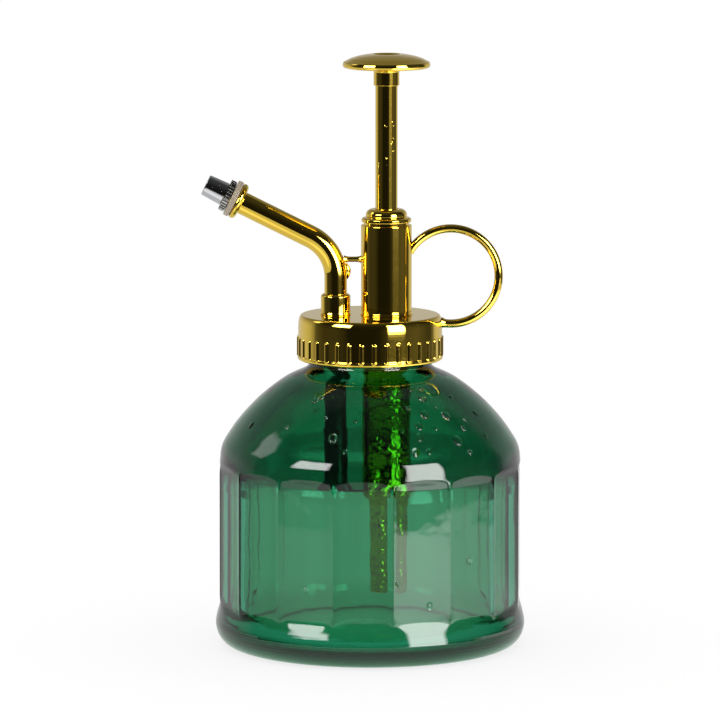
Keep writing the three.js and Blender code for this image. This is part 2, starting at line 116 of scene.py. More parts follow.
def capped_shape(rings, first_pole, last_pole):
    """Rings joined one to the next, with a fan to a pole at each end."""
    verts = [v for ring in rings for v in ring]
    count = len(rings[0])
    faces = grid_faces(len(rings), count)
    first, last = len(verts), len(verts) + 1
    verts += [first_pole, last_pole]
    base = (len(rings) - 1) * count
    for j in range(count):
        k = (j + 1) % count
        faces.append((first, k, j))
        faces.append((last, base + j, base + k))
    return verts, faces


def is_closed(profile):
    """A profile that doesn't start and end on the axis closes on itself."""
    return not (profile[0][0] == 0 and profile[-1][0] == 0)


def rounded(profile, steps):
    """Profile points (r, z) or (r, z, fillet), each filleted corner turned into an arc."""
    out = []
    count = len(profile)
    closed = is_closed(profile)
    for i, point in enumerate(profile):
        fillet = point[2] if len(point) > 2 else 0
        if not fillet or (not closed and i in (0, count - 1)):
            out.append(point[:2])
            continue
        corner = Vector(point[:2])
        back = Vector(profile[i - 1][:2]) - corner
        ahead = Vector(profile[(i + 1) % count][:2]) - corner
        back_length, ahead_length = back.length, ahead.length
        back, ahead = back / back_length, ahead / ahead_length
        half = acos(max(-0.9999, min(0.9999, back.dot(ahead)))) / 2
        cut = min(fillet / tan(half), 0.48 * back_length, 0.48 * ahead_length)
        radius = cut * tan(half)
        centre = corner + (back + ahead).normalized() * (radius / sin(half))
        first, last = corner + back * cut - centre, corner + ahead * cut - centre
        start = atan2(first.y, first.x)
        turn = atan2(last.y, last.x) - start
        while turn > pi:
            turn -= 2 * pi
        while turn < -pi:
            turn += 2 * pi
        for k in range(steps + 1):
            angle = start + turn * k / steps
            out.append((centre.x + radius * cos(angle), centre.y + radius * sin(angle)))
    return out


def supported(points, gap=0.05, long_run=0.6):
    """Extra rows near the ends of long runs, so the shading of a fillet stays in the fillet."""
    out = [points[0]]
    for a, b in zip(points, points[1:]):
        length = hypot(b[0] - a[0], b[1] - a[1])
        if length > long_run:
            for t in (gap / length, 1 - gap / length):
                out.append((a[0] + (b[0] - a[0]) * t, a[1] + (b[1] - a[1]) * t))
        out.append(b)
    return out


def lathe(profile, segs=96, centre_x=0.0, radius_at=lambda angle, r, z: r, angles=None, steps=5):
    """A turned shape. radius_at(angle, r, z) may change the radius."""
    outline = supported(rounded(profile, steps))
    angles = angles or around(segs)

    def ring(r, z):
        radii = [radius_at(a, r, z) for a in angles]
        return [(centre_x + q * cos(a), q * sin(a), z) for q, a in zip(radii, angles)]

    if is_closed(profile):
        return closed_shape([ring(r, z) for r, z in outline])
    poles = [(centre_x, 0, outline[i][1]) for i in (0, -1)]
    return capped_shape([ring(r, z) for r, z in outline[1:-1]], *poles)


def turned(name, profile, finish, node, segs=96, centre_x=0.0, body="head", angle=35,
           matrix=Matrix(), **shaping):
    shape = lathe(profile, segs, centre_x, **shaping)
    return make(name, shape, finish, node, body, angle, matrix)


def sweep(points, tangents, radii, segs=24, bore=None, up=Vector((0, 1, 0))):
    """A round section swept along points; up is a direction that no tangent runs along."""
    def ring(point, tangent, radius):
        tangent = Vector(tangent).normalized()
        side = tangent.cross(up).normalized()
        top = side.cross(tangent).normalized()
        return [tuple(point + side * (radius * cos(a)) + top * (radius * sin(a)))
                for a in around(segs)]

    rings = [ring(*station) for station in zip(points, tangents, radii)]
    if bore:
        inner = [ring(p, t, bore) for p, t in zip(points, tangents)]
        return closed_shape(rings + inner[::-1])
    return capped_shape(rings, tuple(points[0]), tuple(points[-1]))


def spring(radius, low, high, turns, wire_radius, centre_x, per_turn, segs=12, dead=0.75):
    """A compression spring with `dead` turns at each end lying nearly flat."""
    count = int(turns * per_turn)
    flat_pitch = 2 * wire_radius * 1.02
    active_low, active_high = low + flat_pitch * dead, high - flat_pitch * dead

    def height(turn):
        if turn < dead:
            return low + flat_pitch * turn
        if turn > turns - dead:
            return high - flat_pitch * (turns - turn)
        return active_low + (active_high - active_low) * (turn - dead) / (turns - 2 * dead)

    points = []
    for i in range(count + 1):
        t = i / count
        a = 2 * pi * turns * t
        points.append(Vector((centre_x + radius * cos(a), radius * sin(a), height(t * turns))))
    tangents = [(points[min(count, i + 1)] - points[max(0, i - 1)]).normalized()
                for i in range(count + 1)]
    return sweep(points, tangents, [wire_radius] * (count + 1), segs, up=Vector((0, 0, 1)))


def torus(radius, section_radius, z, segs=96, section_segs=20, centre_x=0.0):
    rings = []
    for a in around(segs):
        ring = []
        for b in around(section_segs):
            r = radius + section_radius * cos(b)
            ring.append((centre_x + r * cos(a), r * sin(a), z + section_radius * sin(b)))
        rings.append(ring)
    return closed_shape(rings)


def ball(radius, centre_x, z, segs=48, rows=24):
    arc = [(radius * sin(pi * k / rows), z - radius * cos(pi * k / rows)) for k in range(1, rows)]
    return lathe([(0, z - radius)] + arc + [(0, z + radius)], segs, centre_x)


def thread_height(angle, z, start_z, pitch, turns, half_width, height, run_in, power):
    """How far a screw thread stands out; it tapers over run_in radians at each end."""
    end = 2 * pi * turns
    tallest = 0.0
    for lap in (0, 1):
        along = angle % (2 * pi) + 2 * pi * lap
        offset = (z - (start_z + pitch * along / (2 * pi))) / half_width
        if along <= end and abs(offset) < 1:
            taper = smoothstep(0, run_in, along) * smoothstep(0, run_in, end - along)
            tallest = max(tallest, taper * height * (1 - offset * offset) ** power)
    return tallest


# ------------------------------------------------------------------ shader helpers
class Graph:
    """Short calls that add nodes to one node tree."""

    def __init__(self, tree):
        self.tree = tree
        self.surface = next((n for n in tree.nodes if n.type == "BSDF_PRINCIPLED"), None)

    def feed(self, socket, value):
        """Link a socket to another, or set its value."""
        if isinstance(value, bpy.types.NodeSocket):
            self.tree.links.new(value, socket)
        else:
            socket.default_value = value

    def new(self, kind, inputs=None):
        node = self.tree.nodes.new("ShaderNode" + kind)
        for key, value in (inputs or {}).items():
            self.feed(node.inputs[key], value)
        return node

    def shade(self, inputs):
        """Set inputs of the Principled surface."""
        for key, value in inputs.items():
            self.feed(self.surface.inputs[key], value)

    def coords(self, reference=None):
        node = self.new("TexCoord")
        node.object = reference
        return node.outputs["Object"]

    def separate(self, vector):
        return self.new("SeparateXYZ", {0: vector}).outputs

    def noise(self, coord, scale, detail=3.0, roughness=0.5, distortion=0.0):
        return self.new("TexNoise", {"Scale": scale, "Detail": detail, "Roughness": roughness,
                                     "Distortion": distortion, "Vector": coord}).outputs["Fac"]

    def remap(self, value, span, to=(0, 1)):
        return self.new("MapRange", {"From Min": span[0], "From Max": span[1], "To Min": to[0],
                                     "To Max": to[1], "Value": value}).outputs["Result"]

    def math(self, operation, *values):
        node = self.new("Math", dict(enumerate(values)))
        node.operation = operation
        return node.outputs[0]

    def add(self, a, b):
        return self.math("ADD", a, b)

    def multiply(self, a, b):
        return self.math("MULTIPLY", a, b)

    def mix_colour(self, factor, a, b):
        node = self.new("Mix")
        node.data_type = "RGBA"
        self.feed(node.inputs["Factor"], factor)
        for key, colour in (("A", a), ("B", b)):
            socket = next(s for s in node.inputs if s.name == key and s.type == "RGBA")
            self.feed(socket, (*colour, 1) if isinstance(colour, tuple) else colour)
        return next(s for s in node.outputs if s.type == "RGBA")

    def bump(self, height, distance, strength=1.0, normal=None):
        inputs = {"Distance": distance, "Strength": strength, "Height": height}
        if normal is not None:
            inputs["Normal"] = normal
        return self.new("Bump", inputs).outputs["Normal"]

    def ramp(self, value, limit, stops):
        """Brightness read from (value, level) stops between -limit and limit."""
        node = self.new("ValToRGB")
        node.color_ramp.interpolation = "LINEAR"
        elements = node.color_ramp.elements
        while len(elements) > 1:
            elements.remove(elements[-1])
        for i, (place, level) in enumerate(stops):
            position = (place + limit) / (2 * limit)
            element = elements.new(position) if i else elements[0]
            element.position = position
            element.color = (level, level, level, 1)
        self.feed(node.inputs[0], self.remap(value, span=(-limit, limit)))
        return self.new("SeparateColor", {0: node.outputs["Color"]}).outputs[0]

    def window(self, value, low, high, soft):
        """1 between low and high, with soft edges."""
        rise = self.remap(value, span=(low - soft, low + soft))
        fall = self.remap(value, span=(high - soft, high + soft), to=(1, 0))
        return self.multiply(rise, fall)

    def azimuth(self, x, y):
        """Degrees round Z: 0 towards -Y, positive towards +X."""
        return self.multiply(self.math("ARCTAN2", x, self.multiply(y, -1.0)), 180 / pi)

    def axis_distance(self, x, y):
        return self.math("SQRT", self.add(self.multiply(x, x), self.multiply(y, y)))


def new_material(name):
    material = bpy.data.materials.new(name)
    material.use_nodes = True
    return material, Graph(material.node_tree)


def scaled(colour, *factors):
    return tuple(c * k for c, k in zip(colour, factors))


# ------------------------------------------------------------------ materials
def gold_material(name, marks=0.0, wet=False):
    """Polished gold: colour drift and fine haze, optional small marks or a wet lower part."""
    material, g = new_material(name)
    coord = g.coords()
    tone = (0.87, 0.62, 0.09)
    drift = g.noise(coord, scale=60, detail=2)
    fine = g.noise(coord, scale=900, detail=3, roughness=0.6)
    dark = scaled(tone, 0.95, 0.92, 0.85)
    colour = g.mix_colour(g.remap(drift, span=(0.35, 0.65)), tone, dark)
    rough = g.remap(fine, span=(0.3, 0.75), to=(0.02, 0.06))
    normal = g.bump(g.noise(coord, scale=220, detail=2), distance=0.00003, strength=0.3)
    if marks:
        cells = g.new("TexVoronoi", {"Scale": 900, "Randomness": 1.0, "Vector": coord})
        patch = g.noise(coord, scale=130, detail=2)
        spots = g.multiply(g.remap(cells.outputs["Distance"], span=(0.08, 0.18), to=(1, 0)),
                           g.remap(patch, span=(0.56, 0.62), to=(0, marks)))
        spot_roughness = 0.35
        rough = g.add(rough, g.multiply(spots, spot_roughness))
        normal = g.bump(spots, distance=0.00008, normal=normal)
    if wet:
        # the wet part begins below the cap, at heights in metres
        below = g.remap(g.separate(coord)[2], span=(0.0835, 0.0855), to=(1, 0))
        wet_tone = (1.0, 0.42, 0.02)
        colour = g.mix_colour(below, colour, wet_tone)
        film = g.noise(coord, scale=420, detail=3, roughness=0.6, distortion=0.4)
        haze = g.remap(film, span=(0.45, 0.7), to=(0, 0.12))
        rough = g.add(rough, g.multiply(below, haze))
        normal = g.bump(g.multiply(film, below), distance=0.00022, normal=normal)
    g.shade({"Metallic": 1.0, "Base Color": colour, "Roughness": rough, "Normal": normal})
    return material


def metal_material(name, colour, roughness, grain=0.00003):
    """roughness is a (low, high) pair; grain is the bump height in metres."""
    material, g = new_material(name)
    coord = g.coords()
    fine = g.noise(coord, scale=700, detail=3, roughness=0.6)
    worn = g.noise(coord, scale=90, detail=2)
    g.shade({"Base Color": g.mix_colour(worn, colour, scaled(colour, 0.86, 0.86, 0.86)),
             "Roughness": g.remap(fine, span=(0.3, 0.75), to=roughness),
             "Normal": g.bump(fine, distance=grain, strength=0.4),
             "Metallic": 1.0})
    return material


def plastic_material(name, colour, roughness, grain=0.00003):
    """roughness is the middle value; grain is the bump height in metres."""
    material, g = new_material(name)
    coord = g.coords()
    fine = g.noise(coord, scale=500, detail=3, roughness=0.6)
    drift = g.noise(coord, scale=50, detail=2)
    rough_range = (roughness * 0.8, roughness * 1.25)
    g.shade({"Base Color": g.mix_colour(drift, colour, scaled(colour, 0.8, 0.8, 0.8)),
             "Roughness": g.remap(fine, span=(0.3, 0.75), to=rough_range),
             "Normal": g.bump(fine, distance=grain, strength=0.5)})
    return material


def glass_material(name):
    """Emerald glass coloured through its depth, softly wavy, with a stippled underside and a
    painted glow in its thick base.
    """
    material, g = new_material(name)
    coord = g.coords()
    wave = g.noise(coord, scale=45, detail=2)
    ripple = g.noise(coord, scale=150, detail=2)
    waviness = g.bump(wave, distance=0.0005, strength=0.5)
    x, y, z = g.separate(coord)
    radius = g.axis_distance(x, y)
    # heights and radii in metres
    under = g.multiply(g.remap(radius, span=(0.0325, 0.0340), to=(1, 0)),
                       g.remap(z, span=(0.0025, 0.0032), to=(1, 0)))
    stipple = g.remap(g.noise(coord, scale=700, detail=2), span=(0.3, 0.7), to=(0.55, 0.85))
    g.shade({"Base Color": (0.300, 0.642, 0.449, 1),
             "IOR": 1.5,
             "Transmission Weight": 1.0,
             "Normal": g.bump(ripple, distance=0.00010, strength=0.5, normal=waviness),
             "Roughness": g.multiply(under, stipple),
             # painted glow in the thick base: emission stands in for light that the stipple would
             # scatter into it
             "Emission Color": (0.32, 1.0, 0.55, 1),
             "Emission Strength": g.remap(z, span=(0.0015, 0.0058), to=(0.065, 0))})
    # the node absorbs (1 - colour) x density per metre
    absorbed = (250, 100, 128)
    density = max(absorbed)
    colour = (*[1 - a / density for a in absorbed], 1)
    volume = g.new("VolumeAbsorption", {"Color": colour, "Density": density})
    output = next(n for n in g.tree.nodes if n.type == "OUTPUT_MATERIAL")
    g.feed(output.inputs["Volume"], volume.outputs["Volume"])
    return material


def water_material(name):
    """Clear water: a little unevenness keeps the beads from looking like ball lenses."""
    material, g = new_material(name)
    coord = g.coords()
    haze = g.noise(coord, scale=500, detail=2)
    g.shade({"Base Color": (0.95, 1.0, 0.98, 1),
             "IOR": 1.33,
             "Transmission Weight": 1.0,
             "Roughness": g.remap(haze, span=(0.3, 0.7), to=(0.0, 0.03)),
             "Normal": g.bump(g.noise(coord, scale=900, detail=2), distance=0.00002,
                              strength=0.4)})
    return material


# finishes: (material, slot)
GLASS = (glass_material("green_glass"), "green_glass")
GOLD = (gold_material("gold"), "gold")
GOLD_CAP = (GOLD[0], "gold_cap")
GOLD_STEM = (gold_material("gold_marked", marks=0.6), "gold")
GOLD_WET = (gold_material("gold_inside", wet=True), "gold")
CHROME = (metal_material("nozzle_chrome", (0.62, 0.63, 0.65), roughness=(0.05, 0.11),
                         grain=0.00001), "nozzle_chrome")
# darker than the chrome of the same nozzle cap: painted shade for the grooves of its grip
KNURL = (metal_material("nozzle_knurl", (0.46, 0.445, 0.42), roughness=(0.12, 0.17),
                        grain=0.000002), "nozzle_chrome")
STEEL = (metal_material("steel", (0.60, 0.61, 0.63), roughness=(0.18, 0.32)), "steel")
RUBBER = (plastic_material("rubber", (0.018, 0.018, 0.018), roughness=0.6), "rubber")
DARK = (plastic_material("dark_plastic", (0.010, 0.014, 0.014), roughness=0.32), "dark_plastic")
WATER = (water_material("water"), "green_glass")
WASHER = (plastic_material("washer_plastic", (0.42, 0.345, 0.255), roughness=0.45,
                           grain=0.000004), "washer_plastic")
WHITE = (plastic_material("white_plastic", (0.75, 0.75, 0.71), roughness=0.35), "white_plastic")

# ------------------------------------------------------------------ bottle
FACETS = 16
FACET = 2 * pi / FACETS
FIRST_EDGE = radians(8.6)
BOTTLE_R = 40.4
APOTHEM = 39.62
EDGE_SOFTNESS = 0.2
RIB_HEIGHT, RIB_WIDTH = 0.22, 0.55   # fine rib along each facet edge
NECK_R = 16


def smooth_rows(points, step):
    """Dense points along a Catmull-Rom curve with limited tangents through (r, z) points."""
    out = []
    last = len(points) - 1
    for i in range(last):
        before, after = Vector(points[max(0, i - 1)]), Vector(points[min(last, i + 2)])
        start, end = Vector(points[i]), Vector(points[i + 1])
        limit = (end - start).length
        leave, arrive = (end - before) / 2, (after - start) / 2
        leave = leave.normalized() * min(leave.length, limit)
        arrive = arrive.normalized() * min(arrive.length, limit)
        count = max(1, int(limit / step))
        for j in range(count):
            t = j / count
            point = (start * (2 * t**3 - 3 * t**2 + 1) + leave * (t**3 - 2 * t**2 + t)
                     + end * (-2 * t**3 + 3 * t**2) + arrive * (t**3 - t**2))
            out.append((point.x, point.y))
    out.append(tuple(points[-1]))
    return out


def facet_radius(angle, r, z):
    """The round radius cut back to flats with soft, ribbed edges between them."""
    foot = max(0.0, 12.3 - z) / 2.3
    head = max(0.0, z - 47.4) / 2.5
    apothem = APOTHEM + 0.15 * smoothstep(45, 12, z) + foot * foot + head * head
    from_middle = (angle - FIRST_EDGE) % FACET - FACET / 2
    limit = apothem / cos(from_middle)
    excess = (r - limit) / EDGE_SOFTNESS
    from_edge = (FACET / 2 - abs(from_middle)) * BOTTLE_R
    rib_fade = smoothstep(11.2, 13.5, z) * smoothstep(49.5, 46.5, z)
    rib = RIB_HEIGHT * exp(-((from_edge / RIB_WIDTH) ** 2)) * rib_fade
    if excess > 30:
        return limit + rib
    if excess < -30:
        return r + rib
    return r - EDGE_SOFTNESS * log1p_exp(excess) + rib


def log1p_exp(value):
    from math import log
    return log(1 + exp(value))


def bottle_radius(angle, r, z):
    """Facets on the straight part and the thread on the neck."""
    if 5.0 < z < 52.6 and r > 39:
        return facet_radius(angle, r, z)
    if z > 77 and 15.5 < r:
        return r + thread_height(angle, z, start_z=79.3, pitch=3, turns=1.25, half_width=0.85,
                                 height=0.98, run_in=0.35, power=0.6)
    return r


# (r, z) up the outside: base and foot, straight wall, shoulder, neck, lip
outside = smooth_rows([
    (1.5, 1.6), (10, 1.55), (20, 1.35), (27, 0.95), (31, 0.45), (33.0, 0.1), (34.4, 0),
    (35.8, 0.0), (37.2, 0.2), (38.6, 0.75), (39.9, 1.9), (40.8, 3.4), (41.2, 4.9), (41.3, 6.2),
    (41.05, 7.8), (40.7, 9.2), (40.48, 10.3), (BOTTLE_R, 11.4), (BOTTLE_R, 12.4)], step=0.55)
outside += [(BOTTLE_R, z) for z in (14, 17, 21, 26, 31, 36, 41, 44, 46, 47.2)]
outside += smooth_rows([
    (BOTTLE_R, 47.8), (40.22, 49.0), (40.02, 50.4), (39.85, 52), (39.45, 53.6), (38.75, 55.1),
    (37.55, 57.0), (35.6, 59.8), (32.9, 63), (29.75, 66.2), (26.05, 69.3), (22.6, 71.7),
    (19.8, 73.1), (17.95, 73.9), (16.85, 74.6), (16.2, 75.5), (NECK_R, 76.6)], step=0.5)
outside += [(NECK_R, 77 + 0.22 * k) for k in range(1, 38)]
outside += [(NECK_R, 85.5), (15.93, 85.75), (15.75, 85.93), (15.5, 86)]
# (r, z) down the inside: lip, bore, shoulder, wall, base
inside = [(14.1, 86), (13.85, 85.93), (13.68, 85.75), (13.6, 85.5), (13.6, 82), (13.6, 78)]
inside += smooth_rows([
    (13.6, 75.6), (13.62, 73.6), (14.0, 71.6), (15.2, 69.9), (17.8, 68.3), (21.0, 66.2),
    (24.3, 63.4), (27.3, 60.4), (30.0, 57.4), (32.4, 54.2), (34.4, 51.0), (35.8, 48.0),
    (36.5, 45), (36.7, 42)], step=0.7)
inside += [(36.7, 35), (36.7, 27), (36.72, 20)]
inside += smooth_rows([
    (36.75, 15.5), (36.7, 11), (36.3, 8.2), (35.0, 5.9), (32.6, 4.6), (29, 4.05), (22, 3.95),
    (15, 3.95), (9, 4.0), (3, 4.05)], step=0.7)
# degrees from each facet edge, closer together near the edges
FACET_OFFSETS = (0, 0.3, 0.75, 1.5, 3, 5, 7.2, 9.4, 11.25, 13.1, 15.3, 17.5, 19.5, 21, 21.75, 22.2)
facet_angles = [FIRST_EDGE + FACET * k + radians(o) for k in range(FACETS) for o in FACET_OFFSETS]
bottle = turned("bottle_glass", [(0, 1.6)] + outside + inside + [(0, 4.05)], GLASS, "bottle",
                body="bottle", angle=None, angles=facet_angles, radius_at=bottle_radius)
bottle.visible_shadow = False

# beads of water on the glass: angle in degrees, height, size before BEAD_SCALE
BEADS = [
    (-58.6, 69.3, .95), (-62.3, 65.7, 1.0), (-50.7, 65.0, 1.05), (-29.1, 64.3, .7),
    (-67.3, 63.1, .9), (-51.2, 59.0, 1.15), (-68.8, 60.5, .85), (-72.0, 57.0, .95),
    (-66.0, 57.1, .7), (-106.1, 60.4, 1.05), (-122.9, 68.8, .8), (-119.2, 69.4, .5),
    (-59.2, 62.3, .55), (-44.5, 61.6, .6), (-69.7, 67.3, .6), (-37.5, 68.9, .6),
    (-100.2, 57.2, .55), (-47.1, 55.9, .6), (-67.1, 16.6, .75), (-80.0, 23.1, .6),
    (-49.3, 27.6, .8), (-115.2, 20.7, .65), (-55.0, 71.2, .5), (-63.5, 71.0, .45),
    (-40.5, 63.4, .4), (-54.0, 66.9, .4), (-75.5, 62.0, .45), (-33.0, 59.0, .5),
    (-97.0, 64.5, .4), (-112.0, 65.0, .45), (-130.5, 62.0, .5), (30.0, 62.0, .9),
    (75.0, 66.0, .8), (118.0, 60.0, 1.0), (160.0, 64.0, .7), (205.0, 61.0, .8)]
BEAD_SCALE = 1.2
BEAD_HEIGHT = 0.42    # of its size
BEAD_SAG = 1.45       # downhill stretch
BEAD_ROWS, BEAD_SEGS = 6, 20
SLOPE_REACH = 0.6     # the slope is read this far above and below a bead
outer_wall = [p for p in outside if p[1] > 1]


def wall_radius(angle, z):
    nearest = min(outer_wall, key=lambda p: abs(p[1] - z))
    return bottle_radius(angle, nearest[0], z)


def water_beads():
    verts, faces = [], []
    for bead_degrees, bead_z, size in BEADS:
        angle, size = radians(bead_degrees), size * BEAD_SCALE
        below = wall_radius(angle, bead_z - SLOPE_REACH)
        above = wall_radius(angle, bead_z + SLOPE_REACH)
        slope = Vector((above - below, 2 * SLOPE_REACH)).normalized()
        outward = Vector((cos(angle), sin(angle), 0))
        uphill = outward * slope.x + Vector((0, 0, 1)) * slope.y
        side = Vector((-sin(angle), cos(angle), 0))
        normal = side.cross(uphill).normalized()
        centre = outward * ((below + above) / 2) + Vector((0, 0, bead_z)) + normal * 0.02
        start = len(verts)
        for k in range(BEAD_ROWS):
            t = k / BEAD_ROWS * pi / 2
            radius, height = size * cos(t) ** 0.9, size * BEAD_HEIGHT * sin(t)
            for b in around(BEAD_SEGS):
                climb = radius * sin(b) * (BEAD_SAG if sin(b) < 0 else 1.0)
                verts.append(tuple(centre + side * (radius * cos(b)) + uphill * climb
                                   + normal * height))
        faces += grid_faces(BEAD_ROWS, BEAD_SEGS, offset=start)
        verts += [tuple(centre + normal * size * BEAD_HEIGHT), tuple(centre)]
        top_ring = start + (BEAD_ROWS - 1) * BEAD_SEGS
        for j in range(BEAD_SEGS):
            k = (j + 1) % BEAD_SEGS
            faces.append((len(verts) - 2, top_ring + j, top_ring + k))
            faces.append((len(verts) - 1, start + k, start + j))
    return verts, faces


make("water_beads", water_beads(), WATER, "bottle", body="bottle", angle=60)

# ------------------------------------------------------------------ neck gasket and screw cap
# From here on, profiles are (r, z) or (r, z, fillet).
turned("neck_gasket_ring",
       [(13.8, 86.05, .2), (17.2, 86.05, .2), (17.2, 87.35, .2), (13.8, 87.35, .2)],
       RUBBER, "neck_gasket", body="cap_seal")

CAP_RIBS = 36
CAP_RIB_PITCH = 10        # degrees
FIRST_CAP_RIB = -87       # degrees
CAP_RIB_HALF, CAP_RIB_TOP, CAP_RIB_DEPTH = 0.56, 82.95, 0.36
CAP_TOP = 88.6
CAP_WALL_R = 19.17
CAP_BORE_R = 17.5
CAP_HOLE_R = 6.0          # profile radius that stands for the rim of the barrel's hole
BARREL_HOLE_R = 6.15
# degrees from each rib, closer together on its sides
CAP_OFFSETS = (-5, -3.4, -2.5, -2.1, -1.8, -1.5, -1.2, -0.9, -0.5,
               0, 0.5, 0.9, 1.2, 1.5, 1.8, 2.1, 2.5, 3.4)


def cap_radius(angle, r, z):
    if r < 6.5:  # the barrel's hole, off the cap's axis
        return (PUMP_X * cos(angle) + sqrt(BARREL_HOLE_R ** 2 - (PUMP_X * sin(angle)) ** 2)
                + (r - CAP_HOLE_R))
    if r > 18.4 and 77.6 < z < 84:  # raised ribs with round tops
        pitch = radians(CAP_RIB_PITCH)
        turn = ((angle - radians(FIRST_CAP_RIB) + pitch / 2) % pitch) - pitch / 2
        rise = max(0.0, z - (CAP_RIB_TOP - CAP_RIB_HALF))
        distance = hypot(turn * 19.2, rise)
        side = 1 - smoothstep(CAP_RIB_HALF - 0.32, CAP_RIB_HALF + 0.12, distance)
        return r + CAP_RIB_DEPTH * side * smoothstep(77.7, 77.95, z)
    if 17.0 < r < 17.9 and z < 86:
        return r - thread_height(angle, z, start_z=77.8, pitch=3, turns=1.25, half_width=0.68,
                                 height=1.05, run_in=0.35, power=0.5)
    return r


# underside and bore, rim and lower band, ribbed wall, rounded top
cap_profile = (
    [(CAP_HOLE_R, 87.4), (12.5, 87.4), (CAP_BORE_R, 87.4)]
    + [(CAP_BORE_R, 87.2 - 0.3 * k) for k in range(33)]
    + [(CAP_BORE_R, 77.1), (17.75, 76.72), (18.2, 76.7), (18.85, 76.7), (19.08, 76.74),
       (19.25, 76.85), (19.33, 77.02), (19.36, 77.25), (19.36, 77.6), (19.34, 77.75),
       (19.28, 77.86), (19.2, 77.93)]
    + [(CAP_WALL_R, z) for z in (78.05, 78.3, 78.8, 79.6, 80.6, 81.4)]
    + [(CAP_WALL_R, 81.8 + 0.12 * k) for k in range(11)]
    + [(CAP_WALL_R, 83.2), (19.167, 84.0), (19.157, 84.8), (19.14, 85.5), (19.11, 86.2),
       (19.06, 86.8), (18.98, 87.35), (18.87, 87.78), (18.72, 88.13), (18.52, 88.42),
       (18.3, 88.55), (18.05, CAP_TOP), (17, CAP_TOP), (13, CAP_TOP), (CAP_HOLE_R, CAP_TOP)])
cap_angles = [radians(FIRST_CAP_RIB + CAP_RIB_PITCH * k + o)
              for k in range(CAP_RIBS) for o in CAP_OFFSETS]
turned("cap_body", cap_profile, GOLD_CAP, "screw_cap", angle=40, angles=cap_angles,
       radius_at=cap_radius)

# ------------------------------------------------------------------ pump barrel
BARREL_R = 6.35
PIPE_R = 3.5
FOOT_Z = 43.9     # the barrel is above, the suction pipe below


def wet_radius(angle, r, z):
    """Beads of water standing on the metal inside the bottle."""
    outer, shift = (BARREL_R, 0) if z > FOOT_Z else (PIPE_R, 40)
    if abs(r - outer) > 0.02 or not 15 < z < 83:
        return r
    per_mm = 0.52     # bead cells
    place = Vector((cos(angle) * outer * per_mm, sin(angle) * outer * per_mm,
                    z * per_mm + shift))
    distances = voronoi(place)[0]
    swell = sqrt(max(0.0, min(1.0, (distances[1] - distances[0]) / 0.35)))
    mask = 0.35 + 0.65 * smoothstep(-0.15, 0.25, smooth_noise(place * 0.35))
    return r + 0.26 * swell * mask * smoothstep(83, 80, z) - 0.10


turned("barrel",
       [(5.2, 44, .1), (6.2, 44, .1)] + [(BARREL_R, 44.2 + 0.33 * k) for k in range(118)]
       + [(BARREL_R, 83.6), (6.1, 84.0), (6.1, CAP_TOP), (6.9, CAP_TOP, .1), (6.98, 88.85, .15),
          (6.75, 89.25, .35), (6.75, 112.55, .22), (5.2, 112.55, .1)],
       GOLD_WET, "pump_barrel", segs=144, centre_x=PUMP_X, radius_at=wet_radius)


def hex_radius(angle, r, z):
    """Six flats, leaving the bore round."""
    if r < 6.5:
        return r
    return min(r, 7.45 / cos((angle % (pi / 3)) - pi / 6))


turned("barrel_nut_hex",
       [(6.17, 84.4), (7.0, 84.4), (8.55, 84.75), (8.55, 87.0), (7.6, 87.3), (6.17, 87.3)],
       GOLD, "barrel_nut", segs=120, centre_x=PUMP_X, radius_at=hex_radius)
turned("gland",
       [(3.9, 107.2, .1), (5.12, 107.2, .15), (5.12, 112.6), (6.0, 112.6), (6.0, 113.3),
        (6.6, 113.3, .18), (6.62, 114.15, .3), (6.2, 114.5, .4), (5.35, 114.55, .12),
        (5.52, 115.0, .5), (5.45, 115.65, .8), (5.0, 116.35, .8), (4.2, 116.8, .8),
        (3.3, 116.8, .3), (3.05, 116.5, .1), (3.05, 112.5), (3.9, 112.5)],
       GOLD, "gland_nut", segs=112, centre_x=PUMP_X)
turned("gland_bushing",
       [(3.05, 107.3, .1), (3.82, 107.3, .1), (3.82, 111.15, .1), (3.05, 111.15, .1)],
       WHITE, "gland_bush", segs=72, centre_x=PUMP_X)
make("stem_o_ring", torus(radius=3.46, section_radius=0.41, z=111.85, centre_x=PUMP_X),
     RUBBER, "rod_seal", angle=None)

# ------------------------------------------------------------------ plunger
STEM_R = 2.95
turned("button",
       [(0, 152.9), (3.02, 152.9), (3.02, 149.6), (3.42, 149.6, .12), (3.42, 153.3, .35),
        (4.3, 153.72, .6), (8, 153.92, 3), (10.6, 154.15, 2), (11.45, 154.4, .5),
        (11.66, 155.05, .5), (11.45, 155.8, .5), (10.6, 156.2, 1.5), (9.4, 156.8, 6),
        (7.6, 157.35, 6), (5.7, 157.72, 4), (4.5, 157.88, .6), (3.75, 157.86, .3),
        (3.1, 157.4, .8), (2.1, 157.0, 1.5), (0.9, 156.85, 2), (0, 156.85)],
       GOLD, "thumb_button", segs=144, centre_x=PUMP_X, body="plunger", steps=4)
turned("stem",
       [(0, 98.2), (1.8, 98.2), (2, 98.4), (2, 98.9), (1.6, 98.9), (1.6, 99.6), (2, 99.6),
        (2, 106.6), (STEM_R, 106.6, .1)]
       + [(STEM_R, z) for z in range(110, 150, 8)] + [(STEM_R, 152.75, .2), (0, 152.75)],
       GOLD_STEM, "plunger_stem", centre_x=PUMP_X, body="plunger")
turned("piston_body",
       [(2.05, 100), (4.7, 100, .15), (5.1, 100.4, .15), (5.1, 102.5, .1), (4.1, 102.5),
        (4.1, 103.9), (5.1, 103.9, .1), (5.1, 106.2, .15), (4.75, 106.55, .15), (2.05, 106.55)],
       WHITE, "piston", centre_x=PUMP_X, body="plunger")
make("piston_o_ring", torus(radius=4.64, section_radius=0.49, z=103.2, centre_x=PUMP_X),
     RUBBER, "piston_seal", body="plunger", angle=None)


